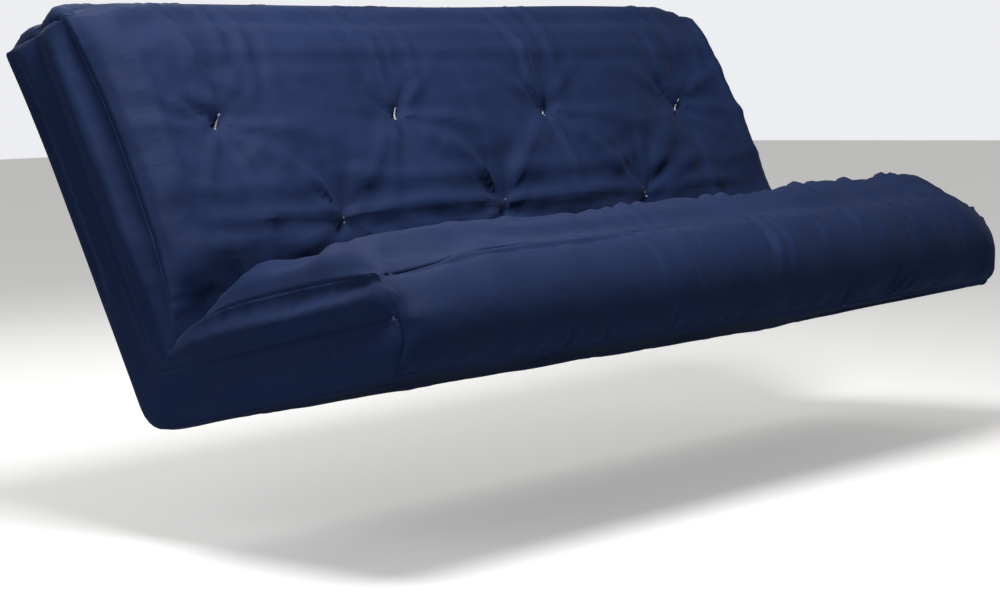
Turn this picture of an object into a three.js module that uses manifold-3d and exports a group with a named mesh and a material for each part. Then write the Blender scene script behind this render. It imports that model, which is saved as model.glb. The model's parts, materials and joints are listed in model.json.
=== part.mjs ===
// Full-size tufted futon mattress, 1372 x 1905 mm, bent to its sofa shape.
//
// The mattress is drawn flat, the way it lies as a bed: x runs along its width, y from
// the front edge (negative) to the head edge (positive), z up through its thickness.
// The fold axis is the line y = z = 0. The seat half has y below 0 and the back half
// has y above 0. Each half is then turned about the fold axis to make the sofa shape.
// The row's origin is the centre of the seat's flat underside. Millimetres, +Z up.

import * as THREE from 'three';
import { mergeVertices } from 'three/addons/utils/BufferGeometryUtils.js';
import Module from 'manifold-3d';

// Overall size and pose
const width = 1905;
const seatLength = 632;
const backLength = 740;
const thickness = 180;
const foldRadius = 60;
const seatTilt = THREE.MathUtils.degToRad(12.5);
const backRecline = THREE.MathUtils.degToRad(28);

// Make-up of the mattress
const clothThickness = 3;
const gap = 0.3;
const foamThickness = 92;
const battingThickness = 41;

// Zip around the two ends and the head
const zipZ = 40;
const tapeWidth = 24;
const tapeThickness = 1;
const chainWidth = 6;
const chainHeight = 2.4;
const stopLength = 3;

// Slider and pull tab
const sliderLength = 15;
const sliderWidth = 11.2;
const sliderPlate = 1.6;
const sliderFlange = 2;
const archHeight = 4.6;
const archWidth = 2.4;
const archPost = 1.6;
const archSpan = 11.6;
const pullLength = 34;
const pullWidth = 9;
const pullThickness = 1.6;
const pullNeck = 9;

// Tufts: twine pulled through the whole thickness and stitched on both faces
const tuftRowPitch = 205;
const twineRadius = 1.2;
const twineHoleRadius = 1.8;
const stitchLength = 14;
const stitchThickness = 1.6;
const slotDepth = 2.1;

// Places that follow from the sizes above
const frontY = -seatLength;
const headY = backLength;
const underZ = -foldRadius;
const faceZ = thickness - foldRadius;
const endX = width / 2;
const foldTurn = Math.PI / 2 - backRecline + seatTilt;
const mitre = (Math.PI - foldTurn) / 2;
const creaseRadius = faceZ / Math.sin(mitre);
const lining = clothThickness + gap;
const noseRadius = foldRadius - lining;
const roundSteps = 48;
const twineSides = 8;
const reach = 1000;

const wasm = await Module();
wasm.setup();

// A closed three.js geometry as a solid that can be joined and cut.
function toSolid(geometry) {
  geometry.deleteAttribute('normal');
  geometry.deleteAttribute('uv');
  const merged = mergeVertices(geometry);
  return new wasm.Manifold(new wasm.Mesh({
    numProp: 3,
    vertProperties: new Float32Array(merged.attributes.position.array),
    triVerts: new Uint32Array(merged.index.array),
  }));
}

function toGeometry(solid) {
  const mesh = solid.getMesh();
  const geometry = new THREE.BufferGeometry();
  geometry.setAttribute('position', new THREE.BufferAttribute(mesh.vertProperties, 3));
  geometry.setIndex(new THREE.BufferAttribute(mesh.triVerts, 1));
  geometry.computeVertexNormals();
  return geometry;
}

function block([x0, x1], [y0, y1], [z0, z1]) {
  const geometry = new THREE.BoxGeometry(x1 - x0, y1 - y0, z1 - z0);
  geometry.translate((x0 + x1) / 2, (y0 + y1) / 2, (z0 + z1) / 2);
  return toSolid(geometry);
}

// A cylinder whose axis is the fold axis.
function foldRoll(radius, [x0, x1]) {
  const geometry = new THREE.CylinderGeometry(radius, radius, x1 - x0, roundSteps);
  geometry.rotateZ(Math.PI / 2);
  geometry.translate((x0 + x1) / 2, 0, 0);
  return toSolid(geometry);
}

// A straight-sided outline in the y, z plane, carried along x.
function prism(corners, [x0, x1]) {
  const shape = new THREE.Shape(corners.map(([y, z]) => new THREE.Vector2(y, z)));
  const geometry = new THREE.ExtrudeGeometry(shape, { depth: x1 - x0, bevelEnabled: false });
  const axes = [new THREE.Vector3(0, 1, 0), new THREE.Vector3(0, 0, 1), new THREE.Vector3(1, 0, 0)];
  geometry.applyMatrix4(new THREE.Matrix4().makeBasis(...axes));
  geometry.translate(x0, 0, 0);
  return toSolid(geometry);
}

// All that lies past the mitre plane where the two halves meet; side is -1 for the
// seat and 1 for the back.
function pastMitre(side, spanX) {
  const start = gap / 2 / Math.sin(mitre);
  const corners = [
    [side * start, 0],
    [side * (start + reach * Math.cos(mitre)), reach * Math.sin(mitre)],
    [-side * reach, reach * Math.sin(mitre)],
    [-side * reach, 0],
  ];
  return prism(side < 0 ? corners.reverse() : corners, spanX);
}

// One flat layer of the seat half. It ends in a round nose about the fold axis, unless it
// lies so high that the mitre cuts it off before the nose.
function seatLayer(spanX, fromY, [z0, z1]) {
  const slab = block(spanX, [fromY, 0], [z0, z1]).subtract(pastMitre(-1, spanX));
  if (z0 > noseRadius * Math.sin(mitre)) {
    return slab;
  }
  const band = block(spanX, [-foldRadius, foldRadius], [z0, z1]);
  const nose = foldRoll(noseRadius, spanX).intersect(band);
  return slab.add(nose);
}

// One flat layer of the back half. It is hollowed to turn round the seat's nose.
function backLayer(spanX, toY, [z0, z1]) {
  const slab = block(spanX, [0, toY], [z0, z1]).subtract(pastMitre(1, spanX));
  return slab.subtract(foldRoll(foldRadius + gap, spanX));
}

// Twine through the thickness with a stitch on each face. Its line stands at x, y, square
// to the mattress, and lean turns it about x. A positive swell makes the hole it needs.
function tuftShape(x, y, topZ, lean, swell) {
  const radius = twineRadius + swell;
  const stitchTop = topZ - slotDepth + gap + stitchThickness;
  const stitchFloor = underZ + slotDepth - gap - stitchThickness;
  const shank = new THREE.CylinderGeometry(radius, radius, stitchTop - stitchFloor, twineSides);
  shank.rotateX(Math.PI / 2);
  shank.translate(0, 0, (stitchTop + stitchFloor) / 2);
  let shape = toSolid(shank);
  const halfLength = stitchLength / 2 + swell;
  const upper = [topZ - slotDepth + gap - swell / 2, stitchTop + 2 * swell];
  const lower = [stitchFloor - 2 * swell, underZ + slotDepth - gap + swell / 2];
  for (const spanZ of [upper, lower]) {
    shape = shape.add(block([-halfLength, halfLength], [-radius, radius], spanZ));
  }
  const geometry = toGeometry(shape);
  geometry.rotateX(lean);
  geometry.translate(x, y, 0);
  return toSolid(geometry);
}

function fourAcross() {
  return [-1.5, -0.5, 0.5, 1.5].map((step) => step * width / 4);
}

function threeAcross() {
  return [-1, 0, 1].map((step) => step * width / 4);
}

// The five rows, set out evenly about the middle of the unfolded length.
const middleY = (frontY + headY) / 2;
const tuftRows = [
  { name: 'tuft_front', half: 'seat', y: middleY - 2 * tuftRowPitch, places: fourAcross() },
  { name: 'tuft_seat', half: 'seat', y: middleY - tuftRowPitch, places: threeAcross() },
  { name: 'tuft_fold', half: 'fold', y: 0, places: fourAcross() },
  { name: 'tuft_back', half: 'back', y: middleY + tuftRowPitch, places: threeAcross() },
  { name: 'tuft_head', half: 'back', y: middleY + 2 * tuftRowPitch, places: fourAcross() },
];

function rowSolids(row, frame, swell) {
  const atFold = row.half === 'fold';
  const topZ = atFold ? creaseRadius : faceZ;
  const towardsBack = Math.PI / 2 - mitre;
  const lean = !atFold ? 0 : frame === 'seat' ? towardsBack : -towardsBack;
  return row.places.map((x) => tuftShape(x, row.y, topZ, lean, swell));
}

// Cuts the twine's holes and the stitches' slots in a piece of one half.
function pierced(solid, half) {
  const swell = twineHoleRadius - twineRadius;
  for (const row of tuftRows.filter((each) => each.half === half || each.half === 'fold')) {
    for (const hole of rowSolids(row, half, swell)) {
      solid = solid.subtract(hole);
    }
  }
  return solid;
}

const finishes = {
  twill: { color: 0x26334f, roughness: 0.9, metalness: 0 },
  batting: { color: 0xe9e4d8, roughness: 1, metalness: 0 },
  foam: { color: 0xf0d98a, roughness: 0.95, metalness: 0 },
  zipTape: { color: 0x1d2740, roughness: 0.85, metalness: 0 },
  twine: { color: 0xd8cfc8, roughness: 0.8, metalness: 0 },
  zipMetal: { color: 0x8c8f94, roughness: 0.35, metalness: 1 },
};

function part(name, solid, finish) {
  const mesh = new THREE.Mesh(toGeometry(solid), new THREE.MeshStandardMaterial(finishes[finish]));
  mesh.name = name;
  return mesh;
}

// Tufts are numbered from the left end of their row.
function tuftPieces(row, frame) {
  return rowSolids(row, frame, 0).map((solid, index) => part(`${row.name}_${index + 1}`, solid, 'twine'));
}

const fullSpan = [-endX, endX];
const innerSpan = [-endX + lining, endX - lining];
const insideZ = [underZ + lining, faceZ - lining];
const foamZ = [insideZ[0] + battingThickness + gap, insideZ[0] + battingThickness + gap + foamThickness];
const fillLayers = [
  { name: 'lower_batting', spanZ: [insideZ[0], foamZ[0] - gap], finish: 'batting' },
  { name: 'foam_core', spanZ: foamZ, finish: 'foam' },
  { name: 'upper_batting', spanZ: [foamZ[1] + gap, insideZ[1]], finish: 'batting' },
];
const tapeZ = [zipZ - tapeWidth / 2, zipZ + tapeWidth / 2];
const chainZ = [zipZ - chainWidth / 2, zipZ + chainWidth / 2];
const boxingStrips = [
  { name: 'boxing_lower', spanZ: [insideZ[0], tapeZ[0] - gap] },
  { name: 'boxing_upper', spanZ: [tapeZ[1] + gap, insideZ[1]] },
];
const ends = [{ name: 'left', side: -1 }, { name: 'right', side: 1 }];

// The x span of a strip on one end, between two depths below the end's outer face.
function endSpan(side, innerDepth, outerDepth) {
  const inner = side * (endX - innerDepth);
  const outer = side * (endX - outerDepth);
  return [Math.min(inner, outer), Math.max(inner, outer)];
}

// The closed zip on one end: a woven tape with the chain of teeth standing on it.
const tapeOuterDepth = 1;
const tapeSpan = (side) => endSpan(side, tapeOuterDepth + tapeThickness, tapeOuterDepth);
const chainSpan = (side) => endSpan(side, tapeOuterDepth + tapeThickness / 2, tapeOuterDepth - chainHeight);
const chainFrontY = frontY + 12;

function seatPieces() {
  const pieces = [];
  const facePanel = seatLayer(fullSpan, frontY, [faceZ - clothThickness, faceZ]);
  pieces.push(part('seat_face_panel', pierced(facePanel, 'seat'), 'twill'));

  // The underside runs on round the outside of the fold to meet the back's rear face.
  const wrapEnd = foldTurn - Math.PI / 2;
  const wrapSector = prism([
    [0, 0],
    [0, -reach],
    [reach, -reach],
    [reach * Math.cos(wrapEnd), reach * Math.sin(wrapEnd)],
  ], fullSpan);
  const wrap = foldRoll(foldRadius, fullSpan)
    .subtract(foldRoll(foldRadius - clothThickness, fullSpan))
    .intersect(wrapSector);
  const underPanel = block(fullSpan, [frontY, 0], [underZ, underZ + clothThickness]).add(wrap);
  pieces.push(part('seat_under_panel', pierced(underPanel, 'seat'), 'twill'));

  pieces.push(part('front_boxing', block(innerSpan, [frontY, frontY + clothThickness], insideZ), 'twill'));
  for (const layer of fillLayers) {
    const fill = seatLayer(innerSpan, frontY + lining, layer.spanZ);
    pieces.push(part(`seat_${layer.name}`, pierced(fill, 'seat'), layer.finish));
  }

  for (const { name, side } of ends) {
    for (const strip of boxingStrips) {
      const boxing = seatLayer(endSpan(side, clothThickness, 0), frontY, strip.spanZ);
      pieces.push(part(`seat_${name}_${strip.name}`, boxing, 'twill'));
    }
    const tape = seatLayer(tapeSpan(side), frontY, tapeZ);
    const chain = seatLayer(chainSpan(side), chainFrontY, chainZ);
    pieces.push(part(`seat_zip_${name}`, tape.add(chain), 'zipTape'));
    const stopOuter = endSpan(side, tapeOuterDepth - gap, tapeOuterDepth - chainHeight);
    const stopY = [chainFrontY - gap - stopLength, chainFrontY - gap];
    pieces.push(part(`zip_stop_${name}`, block(stopOuter, stopY, chainZ), 'zipMetal'));
  }

  const rows = tuftRows.filter((row) => row.half !== 'back');
  return pieces.concat(rows.flatMap((row) => tuftPieces(row, 'seat')));
}

function backPieces() {
  const pieces = [];
  const facePanel = backLayer(fullSpan, headY, [faceZ - clothThickness, faceZ]);
  pieces.push(part('back_face_panel', pierced(facePanel, 'back'), 'twill'));

  // The rear panel starts where the seat's nose no longer stands in its thickness.
  const rearStartY = foldRadius / 3;
  const rearPanel = block(fullSpan, [rearStartY, headY], [underZ, underZ + clothThickness]);
  pieces.push(part('back_rear_panel', pierced(rearPanel, 'back'), 'twill'));

  for (const strip of boxingStrips) {
    const boxing = block(innerSpan, [headY - clothThickness, headY], strip.spanZ);
    pieces.push(part(`head_${strip.name}`, boxing, 'twill'));
  }
  const headTapeY = headY - tapeOuterDepth;
  const headTape = block(innerSpan, [headTapeY - tapeThickness, headTapeY], tapeZ);
  const headChainY = [headTapeY - tapeThickness / 2, headTapeY + chainHeight];
  pieces.push(part('zip_head', headTape.add(block(innerSpan, headChainY, chainZ)), 'zipTape'));

  for (const layer of fillLayers) {
    const fill = backLayer(innerSpan, headY - lining, layer.spanZ);
    pieces.push(part(`back_${layer.name}`, pierced(fill, 'back'), layer.finish));
  }

  for (const { name, side } of ends) {
    for (const strip of boxingStrips) {
      const boxing = backLayer(endSpan(side, clothThickness, 0), headY, strip.spanZ);
      pieces.push(part(`back_${name}_${strip.name}`, boxing, 'twill'));
    }
    const tape = backLayer(tapeSpan(side), headY, tapeZ);
    const chain = backLayer(chainSpan(side), headY, chainZ);
    pieces.push(part(`back_zip_${name}`, tape.add(chain), 'zipTape'));
  }

  const rows = tuftRows.filter((row) => row.half === 'back');
  return pieces.concat(rows.flatMap((row) => tuftPieces(row, 'back')));
}

// The slider is drawn about its own middle: x outwards from the tape, y along the zip.
function sliderSolid() {
  const half = sliderWidth / 2;
  const channelTop = chainHeight + gap;
  const plateTop = channelTop + sliderPlate;
  const shoulder = sliderLength / 2 - 4;
  const shield = new THREE.Shape([
    new THREE.Vector2(-sliderLength / 2, -half + 1.6),
    new THREE.Vector2(shoulder, -half),
    new THREE.Vector2(sliderLength / 2, -half + 2.4),
    new THREE.Vector2(sliderLength / 2, half - 2.4),
    new THREE.Vector2(shoulder, half),
    new THREE.Vector2(-sliderLength / 2, half - 1.6),
  ]);
  const geometry = new THREE.ExtrudeGeometry(shield, { depth: plateTop - gap, bevelEnabled: false });
  const axes = [new THREE.Vector3(0, 1, 0), new THREE.Vector3(0, 0, 1), new THREE.Vector3(1, 0, 0)];
  geometry.applyMatrix4(new THREE.Matrix4().makeBasis(...axes));
  geometry.translate(gap, 0, 0);
  const flangeGap = half - sliderFlange;
  const channel = block([0, channelTop], [-sliderLength, sliderLength], [-flangeGap, flangeGap]);
  let slider = toSolid(geometry).subtract(channel);
  const archTop = plateTop + archHeight;
  const spanZ = [-archWidth / 2, archWidth / 2];
  for (const side of [-1, 1]) {
    const outer = side * archSpan / 2;
    const inner = side * (archSpan / 2 - archPost);
    const spanY = [Math.min(outer, inner), Math.max(outer, inner)];
    slider = slider.add(block([plateTop - archPost / 2, archTop], spanY, spanZ));
  }
  return slider.add(block([archTop - archPost, archTop], [-archSpan / 2, archSpan / 2], spanZ));
}

// The pull tab is drawn about its hinge bar, which passes under the slider's arch.
function pullSolid() {
  const armInner = archWidth / 2 + 0.5;
  const armOuter = armInner + 1.8;
  const halfThick = pullThickness / 2;
  const barRadius = 0.9;
  const bar = new THREE.CylinderGeometry(barRadius, barRadius, 2 * armOuter, 12);
  bar.rotateX(Math.PI / 2);
  let pull = toSolid(bar);
  for (const side of [-1, 1]) {
    const spanZ = [Math.min(side * armInner, side * armOuter), Math.max(side * armInner, side * armOuter)];
    pull = pull.add(block([-halfThick, halfThick], [-halfThick, pullNeck + 1], spanZ));
  }
  const blade = new THREE.Shape();
  const corner = 3;
  const halfWidth = pullWidth / 2;
  blade.moveTo(pullNeck, -halfWidth);
  blade.lineTo(pullLength - corner, -halfWidth);
  blade.absarc(pullLength - corner, -halfWidth + corner, corner, -Math.PI / 2, 0, false);
  blade.absarc(pullLength - corner, halfWidth - corner, corner, 0, Math.PI / 2, false);
  blade.lineTo(pullNeck, halfWidth);
  const eye = new THREE.Path();
  eye.absarc(pullLength - pullWidth / 2, 0, 1.6, 0, Math.PI * 2, true);
  blade.holes.push(eye);
  const plate = { depth: pullThickness, bevelEnabled: false, curveSegments: 6 };
  const geometry = new THREE.ExtrudeGeometry(blade, plate);
  const axes = [new THREE.Vector3(0, 1, 0), new THREE.Vector3(0, 0, 1), new THREE.Vector3(1, 0, 0)];
  geometry.applyMatrix4(new THREE.Matrix4().makeBasis(...axes));
  geometry.translate(-halfThick, 0, 0);
  return pull.add(toSolid(geometry));
}

// The slider is parked at the front end of the right-hand run, with the zip closed.
function zipSlider() {
  const tapeFaceX = endX - tapeOuterDepth;
  const group = new THREE.Group();
  group.position.set(tapeFaceX, chainFrontY + sliderLength / 2 + gap, zipZ);
  group.add(part('zip_slider', sliderSolid(), 'zipMetal'));
  const pull = part('zip_pull', pullSolid(), 'zipMetal');
  pull.position.set(chainHeight + gap + sliderPlate + archPost, 0, 0);
  group.add(pull);
  return group;
}

const seat = new THREE.Group();
seat.add(...seatPieces(), zipSlider());
seat.rotation.x = -seatTilt;

const back = new THREE.Group();
back.add(...backPieces());
back.rotation.x = -seatTilt + foldTurn;

// The origin is put at the centre of the seat's underside.
const undersideCentre = new THREE.Vector3(0, frontY / 2, underZ);
undersideCentre.applyAxisAngle(new THREE.Vector3(1, 0, 0), -seatTilt);
const mattress = new THREE.Group();
mattress.add(seat, back);
mattress.position.copy(undersideCentre).negate();

export default mattress;
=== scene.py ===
import bpy
import json
import math
import numpy as np
from mathutils import Matrix, Vector


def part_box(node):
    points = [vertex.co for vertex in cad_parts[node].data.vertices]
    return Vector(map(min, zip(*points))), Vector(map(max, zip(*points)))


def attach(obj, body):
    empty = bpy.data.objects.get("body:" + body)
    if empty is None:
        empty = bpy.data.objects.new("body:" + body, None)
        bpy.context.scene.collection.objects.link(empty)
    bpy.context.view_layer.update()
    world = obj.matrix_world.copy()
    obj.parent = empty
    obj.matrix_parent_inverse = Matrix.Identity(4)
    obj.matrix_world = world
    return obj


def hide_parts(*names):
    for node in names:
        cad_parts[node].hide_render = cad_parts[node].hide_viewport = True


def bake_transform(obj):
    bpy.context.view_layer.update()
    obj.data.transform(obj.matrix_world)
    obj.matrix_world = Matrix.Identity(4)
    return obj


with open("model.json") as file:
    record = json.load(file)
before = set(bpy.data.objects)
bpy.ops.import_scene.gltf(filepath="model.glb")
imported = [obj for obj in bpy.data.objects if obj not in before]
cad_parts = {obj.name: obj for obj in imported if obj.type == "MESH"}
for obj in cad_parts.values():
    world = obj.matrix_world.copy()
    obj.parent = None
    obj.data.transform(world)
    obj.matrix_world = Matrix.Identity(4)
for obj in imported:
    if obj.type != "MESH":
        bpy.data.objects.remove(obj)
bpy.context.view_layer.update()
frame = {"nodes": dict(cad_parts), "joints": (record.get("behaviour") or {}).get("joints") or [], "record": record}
print("frame loaded:", len(frame["nodes"]), "nodes")

# The fold's axis and turn, the tilt of the seat and the reach of each half come from the frame.
foldJoint = next(j for j in frame["joints"] if j["name"] == "fold")
foldAxis = np.array(foldJoint["pos_m"], float)
foldTurn = math.radians(foldJoint["range_deg"][1])
mitre = (math.pi - foldTurn) / 2
underMount = next(m for m in frame["record"]["mounts"] if m["name"] == "seat_underside")
seatUp = -np.array(underMount["axis"], float)
seatAlong = np.array([0.0, seatUp[2], -seatUp[1]])


def turned(vector, angle):
    # a vector turned about the width of the mattress
    x, y, z = vector
    c, s = math.cos(angle), math.sin(angle)
    return np.array([x, y * c - z * s, y * s + z * c])


backUp = turned(seatUp, foldTurn)
backAlong = turned(seatAlong, foldTurn)


def nodeReach(node, direction):
    # how far a CAD node reaches from the fold's axis in a direction
    points = np.array([v.co for v in frame["nodes"][node].data.vertices], float)
    return float(((points - foldAxis) @ direction).max())


frontReach = nodeReach("front_boxing", -seatAlong)
headReach = nodeReach("head_boxing_upper", backAlong)
foldRadius = nodeReach("seat_under_panel", -seatUp)
zipFaceX = nodeReach("seat_zip_right", np.array([1.0, 0, 0]))
seatZipZ = 0.5 * (nodeReach("zip_stop_left", seatUp) - nodeReach("zip_stop_left", -seatUp))
backZipZ = 0.5 * (nodeReach("zip_head", backUp) - nodeReach("zip_head", -backUp))
tuftRows = {"front": 4, "seat": 3, "fold": 4, "back": 3, "head": 4}

# camera, floor and light

studio = {
    "cameraPlace": (-3.5216, -2.7741, 0.5370),
    "lookAlong": (0.74593, 0.65908, -0.09598),
    "rollDegrees": -1.30,
    "lens": 81.01,
    "floorDrop": 0.2748,        # the floor under a sofa frame, below the seat's underside
    "floorSize": 40.0,
    "floorSeen": (0.82, 0.81, 0.79, 1),
    "floorBounce": (0.28, 0.35, 0.46, 1),   # darker for the light that it throws back up
    "floorGlow": 0.42,
    "skyColour": (0.96, 0.97, 1.0, 1),
    "skyStrength": 0.20,        # how strongly the sky lights the object
    "skySeen": 0.88,            # and how bright it looks
    "lights": [                 # place, aim, size, power, colour
        ((-0.85, -0.45, 2.45), (-0.1, 0.15, 0.2), 1.2, 80, (0.97, 0.985, 1.0)),
        ((-3.4, -0.3, 1.7), (-0.2, 0.2, 0.3), 1.8, 18, (0.94, 0.97, 1.0)),
        ((0.4, 2.9, 2.6), (0.0, 0.2, 0.3), 2.4, 40, (1.0, 1.0, 1.0)),
    ],
}


def makeStudio():
    scene = bpy.context.scene
    scene.view_settings.view_transform = "Standard"
    camera = bpy.data.objects.new("camera", bpy.data.cameras.new("camera"))
    scene.collection.objects.link(camera)
    forward = Vector(studio["lookAlong"]).normalized()
    level = forward.cross(Vector((0, 0, 1))).normalized()
    upward = level.cross(forward)
    roll = math.radians(studio["rollDegrees"])
    right = level * math.cos(roll) + upward * math.sin(roll)
    upward = right.cross(forward)
    camera.matrix_world = Matrix.Translation(studio["cameraPlace"]) @ Matrix(
        (right, upward, -forward)).transposed().to_4x4()
    camera.data.lens = studio["lens"]
    camera.data.sensor_width = 36.0
    camera.data.clip_end = 200
    scene.camera = camera

    half = studio["floorSize"] / 2
    floorMesh = bpy.data.meshes.new("floor")
    corners = [(-half, -half), (half, -half), (half, half), (-half, half)]
    floorMesh.from_pydata([(x, y, -studio["floorDrop"]) for x, y in corners], [], [(0, 1, 2, 3)])
    floor = bpy.data.objects.new("floor", floorMesh)
    scene.collection.objects.link(floor)
    floorMaterial = bpy.data.materials.new("pale floor")
    floorMaterial.use_nodes = True
    nodes, links = floorMaterial.node_tree.nodes, floorMaterial.node_tree.links
    shader = nodes["Principled BSDF"]
    shader.inputs["Roughness"].default_value = 0.9
    shader.inputs["Emission Color"].default_value = studio["floorSeen"]
    ray = nodes.new("ShaderNodeLightPath").outputs["Is Camera Ray"]
    colour = nodes.new("ShaderNodeMix")
    colour.data_type = "RGBA"
    colour.inputs[6].default_value = studio["floorBounce"]
    colour.inputs[7].default_value = studio["floorSeen"]
    glow = nodes.new("ShaderNodeMath")
    glow.operation = "MULTIPLY"
    glow.inputs[1].default_value = studio["floorGlow"]
    links.new(ray, colour.inputs[0])
    links.new(ray, glow.inputs[0])
    links.new(colour.outputs[2], shader.inputs["Base Color"])
    links.new(glow.outputs[0], shader.inputs["Emission Strength"])
    floorMesh.materials.append(floorMaterial)

    world = bpy.data.worlds.new("studio")
    scene.world = world
    world.use_nodes = True
    sky = world.node_tree
    lighting = sky.nodes["Background"]
    seen = sky.nodes.new("ShaderNodeBackground")
    for background, strength in ((lighting, studio["skyStrength"]), (seen, studio["skySeen"])):
        background.inputs["Color"].default_value = studio["skyColour"]
        background.inputs["Strength"].default_value = strength
    either = sky.nodes.new("ShaderNodeMixShader")
    sky.links.new(sky.nodes.new("ShaderNodeLightPath").outputs["Is Camera Ray"], either.inputs[0])
    sky.links.new(lighting.outputs[0], either.inputs[1])
    sky.links.new(seen.outputs[0], either.inputs[2])
    sky.links.new(either.outputs[0], sky.nodes["World Output"].inputs["Surface"])

    for number, (place, aim, size, power, colour) in enumerate(studio["lights"]):
        light = bpy.data.lights.new(f"softbox {number + 1}", "AREA")
        light.shape = "DISK"
        light.size = size
        light.energy = power
        light.color = colour
        lamp = bpy.data.objects.new(light.name, light)
        scene.collection.objects.link(lamp)
        lamp.location = place
        lamp.rotation_mode = "QUATERNION"
        lamp.rotation_quaternion = (Vector(aim) - Vector(place)).to_track_quat("-Z", "Y")


makeStudio()
print("studio ready")

# small tools

chance = np.random.default_rng(1905)


def smooth(t):
    t = np.clip(t, 0, 1)
    return t * t * (3 - 2 * t)


def bump(t, width):
    return np.exp(-(t / width) ** 2)


def edgeRise(distance, width):
    # a quarter of an ellipse: 0 on the seam, 1 from width inwards
    t = np.clip(distance / width, 0, 1)
    return np.sqrt(np.clip(1 - (1 - t) ** 2, 0, 1))


def waves(x, y, count, lengths, stretch=1.0):
    # a sum of sine waves with chance directions and phases: soft unevenness, about -1 to 1
    total = np.zeros(np.broadcast(x, y).shape)
    for _ in range(count):
        size = chance.uniform(*lengths)
        angle = chance.uniform(0, 2 * math.pi)
        phase = chance.uniform(0, 2 * math.pi)
        turn = 2 * math.pi / size
        total += np.sin(turn * (x * math.cos(angle) * stretch + y * math.sin(angle)) + phase)
    return total / math.sqrt(count)


def readAt(points, places, axis):
    # A grid read at fractional rows or columns, on Catmull-Rom curves through its own points:
    # half of 2b + (c - a)t + (2a - 5b + 4c - d)t^2 + (3b - a - 3c + d)t^3 between b and c.
    p = np.moveaxis(points, axis, 0)
    p = np.concatenate([2 * p[:1] - p[1:2], p, 2 * p[-1:] - p[-2:-1]])
    cell = np.clip(np.floor(places).astype(int), 0, len(p) - 4)
    t = (places - cell).reshape((-1,) + (1,) * (p.ndim - 1))
    a, b, c, d = p[cell], p[cell + 1], p[cell + 2], p[cell + 3]
    curve = 2 * b + (c - a) * t + (2 * a - 5 * b + 4 * c - d) * t ** 2 + (3 * b - a - 3 * c + d) * t ** 3
    return np.moveaxis(curve / 2, 0, axis)


def seamSpacing(cells):
    # fractional grid lines: two to a cell, and closer together in the cells beside the seams
    nearSeam = np.array([0, 0.12, 0.28, 0.48, 0.72])
    return np.concatenate([nearSeam, np.arange(1.0, cells - 0.75, 0.5), cells - nearSeam[::-1]])


def refined(points, rowPlaces, columnPlaces):
    return readAt(readAt(points, rowPlaces, 0), columnPlaces, 1)


def addPiece(name, vertices, faces, uv=None):
    mesh = bpy.data.meshes.new(name)
    mesh.from_pydata(np.asarray(vertices, float).tolist(), [], [list(f) for f in faces])
    if uv is not None:
        layer = mesh.uv_layers.new(name="UVMap")
        corner = np.empty(len(mesh.loops), np.int32)
        mesh.loops.foreach_get("vertex_index", corner)
        layer.data.foreach_set("uv", np.asarray(uv, np.float32)[corner].ravel())
    mesh.polygons.foreach_set("use_smooth", np.ones(len(mesh.polygons), bool))
    mesh.update()
    piece = bpy.data.objects.new(name, mesh)
    bpy.context.scene.collection.objects.link(piece)
    return piece


def gridFaces(rows, columns, start=0, flip=False):
    # quads of a rows by columns grid of points
    index = start + np.arange(rows * columns).reshape(rows, columns)
    quads = np.stack([index[:-1, :-1], index[:-1, 1:], index[1:, 1:], index[1:, :-1]], axis=-1)
    quads = quads.reshape(-1, 4)
    return quads[:, ::-1] if flip else quads


# the mattress's shape, folded

shape = {
    "cell": 0.012,             # spacing of the cloth's grid
    "foldZone": 0.160,         # how far from the axis the cloth starts to bunch
    "foldCells": 14,
    "seamBack": 0.028,         # front seams behind the boxing's bulge
    "headSlant": 0.030,        # the head boxing leans, as the face side is pushed up
    "seamX": 0.944,            # end seams, half of the width between them
    "frontHeight": 0.114,      # height of the face seam above the fold's axis, at the corners
    "foldHeight": 0.118,
    "headHeight": 0.128,
    "seatBow": 0.008,          # the end seams rise this much along the seat and the back
    "backBow": 0.016,
    "frontBow": 0.022,         # the front seam rises this much between the corners
    "headBow": 0.018,          # and the head seam is pushed out this much
    "bowWidth": 0.30,          # how far in from an end a seam has risen in full
    "rightBowWidth": 0.15,
    "headBowWidth": 0.13,
    "rightHeadBow": 0.010,     # added to the bows towards the right end
    "rightFrontBow": 0.012,
    "frontBowReach": 0.13,     # how far from its seam each bow fades
    "headBowReach": 0.09,
    "underLift": 0.007,        # lower seams above the flat underside
    "creaseDepth": 0.050,
    "creaseWidth": 0.085,      # the crown sinks away over this much on each side of the crease
    "seatCrown": 0.072,
    "rightCrown": 0.012,       # the seat is this much fuller towards its right end
    "backCrown": 0.054,
    "edgeRoll": 0.115,         # width over which a panel rolls down to its seam
    "leftSoftness": 0.55,      # how softly the front roll leaves its seam, at the left
    "addedSoftness": 0.35,     # and how much more softly at the right
    "endRoll": 0.085,
    "rightRoll": 0.055,
    "tuftDepth": 0.060,
    "cuspWidth": 0.032,
    "bowlWidth": 0.10,
    "foldTuftShare": 0.35,     # the tufts in the crease are this much as deep as the others
    "tuftEdge": 0.10,          # the dimples fade out over this much beside the seams
    "troughWidth": 0.05,
    "rowTrough": 0.006,        # a shallow trough along each row of tufts
    "underTuftDepth": 0.015,   # and on the underside
    "zipBend": 0.010,          # the zip keeps its height to this near the axis, for its slider
    "frontBulge": 0.060,
    "cornerShare": 0.40,       # the front corners' share of that bulge
    "cutFullness": 0.02,       # the cloth is cut for crowns and bulges this much fuller
    "endBulge": 0.023,
    "headBulge": 0.021,
    "boxingCells": 14,
    "pullIn": 0.007,           # the sides pull in between the corners
    "cornerEar": 0.003,
    "zipDepth": 0.0028,        # the middle of the zip's tape behind the face of its CAD node
    "zipRise": 0.035,          # the zip reaches its plane this far from a corner
}


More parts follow.
